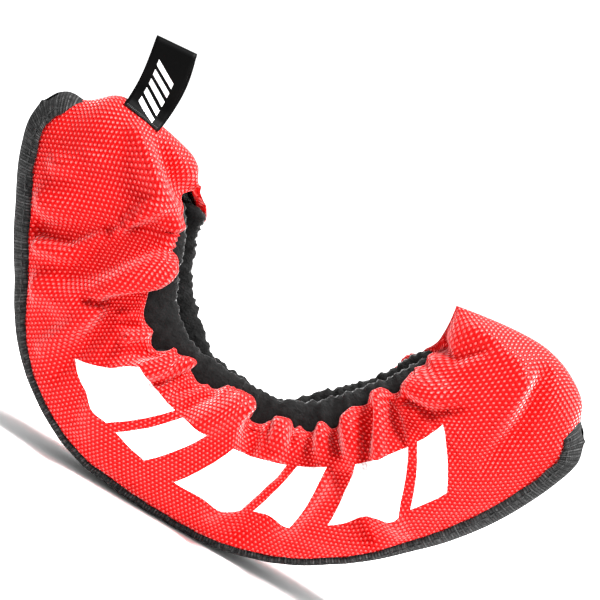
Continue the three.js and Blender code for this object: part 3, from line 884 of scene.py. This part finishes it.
def build_elastic(side, half, angles):
    """A flat band that runs inside the lip."""
    middle, _, crest, rim = (v[:, None] for v in lip_frame(side, angles))
    a = angles[:, None]
    wide, high = np.array([(-1, -1), (1, -1), (1, 1), (-1, 1)]).T[:, None] / 2
    radius = (crest + rim) / 2 + 2 + high * ELASTIC_WIDTH + 0.2 * ripple(a / 3, 2)
    grid = place(a, radius, SIDES[side] * (middle + wide * ELASTIC_THICK))
    uv = stacked(np.radians(a) * MOUTH_RADIUS, high * 3)
    obj = tube_mesh(f"mouth_elastic_{side}_{half}_half", grid, elastic, uv)
    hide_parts(f"mouth_elastic_{side}_{half}", f"mouth_elastic_{side}_middle")
    bend(obj, half)


build_lips()


# ---- The sole: webbing, wear strip and stitches ----

def sole_line(half, up_face=True):
    """Angles and radii along the sole, and how loosely the webbing lies, from the middle to an end."""
    end = HEEL_CORNER if half == "heel" else TOE_CORNER
    angle = np.linspace(0, end, LINE_POINTS)
    radius = sole_radius(angle)
    slack = CORNER_SLACK * smooth(*SLACK_ANGLES, np.abs(angle))
    if up_face:
        top, face = (HEEL_TOP, heel_face) if half == "heel" else (TOE_TOP, toe_face)
        face_radius = mix(radius[-1], top, FACE_END[half] * np.linspace(0, 1, FACE_POINTS + 1)[1:])
        angle = np.concatenate([angle, face(face_radius)])
        radius = np.concatenate([radius, face_radius])
        sink = END_SINK * smooth(SINK_FROM, FACE_POINTS, np.arange(1, FACE_POINTS + 1))
        slack = np.concatenate([slack, CORNER_SLACK - sink])
    return angle, radius, slack


def across_sole(angle, radius, slack, arcs, inset, taper):
    """A grid of points across a strip that wraps the sole, at distances arcs from its middle line."""
    limit = np.degrees(FOCUS_DEPTH / radius)
    focus_angle = np.clip(angle, HEEL_CORNER + limit, TOE_CORNER - limit)
    focus_radius = np.minimum(radius, sole_radius(focus_angle) - FOCUS_DEPTH)
    edge = place(angle, radius, 0)
    inward = units(place(focus_angle, focus_radius, 0) - edge)
    inset = (inset - slack)[:, None]
    depth = inset + np.linspace(0, 1, WRAP_POINTS)[None, :] ** 2 * WRAP_DEPTH
    points = edge[:, None] + inward[:, None] * depth[..., None]
    points[..., 1] = half_thickness(*polar(points[..., 0], points[..., 2]), inset)
    points[:, 0, 1] = 0
    arc = running(np.linalg.norm(np.diff(points, axis=1), axis=2), axis=1)
    out = np.empty((len(angle), len(arcs), 3))
    for i, narrow in enumerate(taper):
        for k in range(3):
            out[i, :, k] = np.interp(np.abs(arcs) * narrow, arc[i], points[i, :, k])
    out[..., 1] *= np.sign(arcs)
    return out


def along_sole(line):
    """Length along the sole of each point of a line."""
    return running(np.linalg.norm(np.diff(place(line[0], line[1], 0), axis=0), axis=1))


def build_strip(kind, half, line, half_wide, insets, columns):
    """The webbing, tapered and wavy at its edges, or the plain wear strip."""
    arcs = np.linspace(-half_wide, half_wide, columns)
    length = along_sole(line)
    taper = np.ones(len(length))
    if kind == "sole_webbing":
        taper = 1 - 0.8 * smooth(length[-1] - TAPER[half], length[-1], length)
    layers = [across_sole(*line, arcs, inset, taper) for inset in insets]
    if kind == "sole_webbing":
        wave = WEBBING_WAVE * ripple(length / 13, 2)[:, None] * smooth(0.55, 1, np.abs(arcs) / half_wide)
        layers = [g + normals_of(g) * wave[..., None] for g in layers]
    uv = stacked(HALVES[half] * length[:, None], arcs)
    obj = thick_mesh(f"{kind}_{half}_half", *layers, webbing, uv)
    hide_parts(f"{kind}_{half}", f"{kind}_middle")
    bend(obj, half)


def build_stitches(side, half):
    """A row of single stitches along the webbing's edge, each a small pulled-in oval of thread."""
    line = sole_line(half)
    length = along_sole(line)
    arc = np.array([SIDES[side] * (WEBBING_HALF - STITCH_FROM_EDGE)])
    even = np.ones(len(length))
    path = across_sole(*line, arc, WEBBING_INSETS[0] - 0.12, even)[:, 0]
    out = units(path - across_sole(*line, arc, WEBBING_INSETS[1], even)[:, 0])
    t = np.linspace(0, 1, 7)
    turn = np.linspace(0, 2 * np.pi, 8, endpoint=False)[None, :, None]
    bulge = np.sqrt(np.maximum(1 - (2 * t - 1) ** 4, 0.03)) * STITCH_THICK / 2
    sink = -0.35 * (2 * t - 1) ** 4
    stitches = []
    last = length[-1] - TAPER[half] - STITCH_END
    for begin in np.arange(STITCH_START, last, STITCH_LENGTH + STITCH_GAP):
        s = begin + t * STITCH_LENGTH
        middle, up = (np.stack([np.interp(s, length, v[:, k]) for k in range(3)], -1) for v in (path, out))
        sideways = units(np.cross(np.gradient(middle, axis=0), up))
        ring = np.cos(turn) * sideways[:, None] + np.sin(turn) * up[:, None]
        stitches.append((middle + up * sink[:, None])[:, None] + bulge[:, None, None] * ring)
    obj = stitch_mesh(f"sole_stitching_{side}_{half}_half", stitches)
    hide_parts(f"sole_stitching_{side}_{half}", f"sole_stitching_{side}_middle")
    bend(obj, half)


def build_sole():
    for half in HALVES:
        build_strip("sole_webbing", half, sole_line(half), WEBBING_HALF, WEBBING_INSETS,
                    WEBBING_COLUMNS)
        line = np.array(sole_line(half, up_face=False))
        inner = np.abs(line[0]) <= STRIP_END
        build_strip("wear_strip", half, line[:, inner], STRIP_HALF, STRIP_INSETS,
                    STRIP_COLUMNS)
        for side in SIDES:
            build_stitches(side, half)


build_sole()


# ---- The ribbon label ----

def ridge_height(x):
    """Height of the heel end's ridge at a place along the guard."""
    radius = np.linspace(66, 112, 80)
    ridge = place(heel_face(radius), radius, 0)
    order = np.argsort(ridge[:, 0])
    return np.interp(x, ridge[order, 0], ridge[order, 2])


def near_side(x, drop):
    """The right panel's face below the ridge, as a distance across."""
    return -half_thickness(*polar(x, ridge_height(x) - drop), 0)


def label_at(x, height, across, swell):
    """A row of points across the ribbon, this high above the ridge that it is sewn to."""
    t = height / LABEL_RISE
    tilt = mix(*(math.radians(v) for v in LABEL_TILT), smooth(0, 1, t))
    along = LABEL_FOOT.x + LABEL_DRIFT * t + LABEL_BELLY * math.sin(math.pi * t) + swell + x
    ridge = ridge_height(LABEL_FOOT.x + x)
    level = LABEL_FOOT.z - 0.4 + height - np.sin(tilt) * x
    z = mix(ridge + height, level, smooth(0, 0.3, t))
    return stacked(along, across, z)


def label_foot(x, off):
    """Rows of points across a ply's foot, which lies against the shell below the ridge."""
    along = LABEL_FOOT.x + x
    return [np.stack([along, near_side(along, drop) - off, ridge_height(along) - drop], -1)
            for drop in np.linspace(LABEL_DROP, 0.6, 9)]


def label_sheet(offset):
    """A grid of the ribbon, offset outwards from its middle: rows across its width, from one cut end up the
    front ply, over the fold and down the back ply to the other."""
    x = np.linspace(-LABEL_WIDTH / 2, LABEL_WIDTH / 2, 13)
    half_gap = profile((0, 0.55), (0.25, 0.8), (0.7, 2.6), (1, 2.2))
    front, back = label_foot(x, LABEL_OFF["front"] + offset), label_foot(x, LABEL_OFF["back"] - offset)
    top = LABEL_RISE - float(half_gap(1))
    for rise in np.linspace(0, 1, 26)[1:]:
        gap = float(half_gap(rise)) + offset
        lean = mix(-2.6, 0, float(smooth(0, 0.25, rise)))
        front.append(label_at(x, rise * top, lean - gap, 0))
        back.append(label_at(x, rise * top, lean + gap, LABEL_BELLY * math.sin(math.pi * rise)))
    radius = float(half_gap(1)) + offset
    fold = [label_at(x, top + radius * math.sin(a), -radius * math.cos(a), 0)
            for a in np.linspace(0, math.pi, 11)[1:-1]]
    return np.stack(front + fold + back[::-1])


def build_label():
    outer, inner = label_sheet(LABEL_PLY / 2), label_sheet(-LABEL_PLY / 2)
    length = running(np.linalg.norm(np.diff(outer, axis=0), axis=2))
    x = np.linspace(-LABEL_WIDTH / 2, LABEL_WIDTH / 2, outer.shape[1])
    obj = thick_mesh("label_ribbon", outer, inner, ribbon, stacked(x, length))
    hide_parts("label_loop")
    hinge(obj)
    build_tack(outer[3])


def hinge(obj):
    """Bakes the label's transform into its mesh; nothing turns it."""
    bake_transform(obj)


def build_tack(row):
    """A bar of close slanted stitches along a row of points across the label's foot."""
    turn = np.linspace(0, 2 * np.pi, 6, endpoint=False)
    ring = TACK_THREAD * stacked(np.cos(turn), np.sin(turn), 0)
    stitches = []
    for x in np.arange(row[0, 0] + TACK_MARGIN, row[-1, 0] - TACK_MARGIN, TACK_PITCH):
        y, z = (np.interp(x, row[:, 0], row[:, k]) for k in (1, 2))
        middle = np.array([(x - 0.3, y - 0.1, z - 0.7), (x, y - 0.35, z), (x + 0.3, y - 0.1, z + 0.7)])
        stitches.append(middle[:, None] + ring)
    obj = stitch_mesh("label_bar_tack", stitches)
    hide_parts("label_stitching")
    hinge(obj)


build_label()


# ---- Camera, light and floor ----

def add_camera():
    az, el, roll = (math.radians(v) for v in (VIEW_AZIMUTH, VIEW_ELEVATION, VIEW_ROLL))
    forward = Vector((-math.sin(az) * math.cos(el), math.cos(az) * math.cos(el), -math.sin(el)))
    right = forward.cross(Vector((0, 0, 1))).normalized()
    up = right.cross(forward)
    x_axis = math.cos(roll) * right + math.sin(roll) * up
    y_axis = -math.sin(roll) * right + math.cos(roll) * up
    middle = VIEW_TARGET + FRAME_OFFSET[0] * x_axis + FRAME_OFFSET[1] * y_axis
    data = bpy.data.cameras.new("camera")
    data.sensor_width = SENSOR
    data.lens = SENSOR * VIEW_DISTANCE / VIEW_WIDTH
    camera = bpy.data.objects.new("camera", data)
    turn = Matrix((x_axis, y_axis, -forward)).transposed().to_4x4()
    camera.matrix_world = Matrix.Translation(middle - VIEW_DISTANCE * forward) @ turn
    bpy.context.scene.collection.objects.link(camera)
    bpy.context.scene.camera = camera


def add_light(name, kind, power, turn):
    data = bpy.data.lights.new(name, kind)
    data.energy = power
    light = bpy.data.objects.new(name, data)
    light.rotation_euler = turn.to_euler()
    bpy.context.scene.collection.objects.link(light)
    return light


def add_lights():
    """A softbox over the guard, and a broad soft sun that doesn't fall away over the floor."""
    down = (SOFTBOX_TARGET - SOFTBOX_AT).to_track_quat("-Z", "Y")
    softbox = add_light("softbox_top", "AREA", SOFTBOX_POWER, down)
    softbox.location = SOFTBOX_AT
    softbox.data.size = SOFTBOX_SIZE
    sun = add_light("sun", "SUN", SUN_POWER, SUN_FROM.to_track_quat("Z", "Y"))
    sun.data.angle = math.radians(SUN_SPREAD)


def add_stage():
    """A pale floor to the horizon, and a white world."""
    size = 1000 * FLOOR_HALF
    corners = [(-size, -size, 0), (size, -size, 0), (size, size, 0), (-size, size, 0)]
    skin = material("floor", grey(0.96), 0.9, specular=0.0)[0]
    make_mesh("floor", corners, [(0, 1, 2, 3)], skin)
    world = bpy.data.worlds.new("studio")
    world.use_nodes = True
    background = world.node_tree.nodes["Background"]
    background.inputs["Color"].default_value = (1, 1, 1, 1)
    background.inputs["Strength"].default_value = WORLD_POWER
    bpy.context.scene.world = world
    bpy.context.scene.view_settings.view_transform = "Standard"


add_camera()
add_lights()
add_stage()
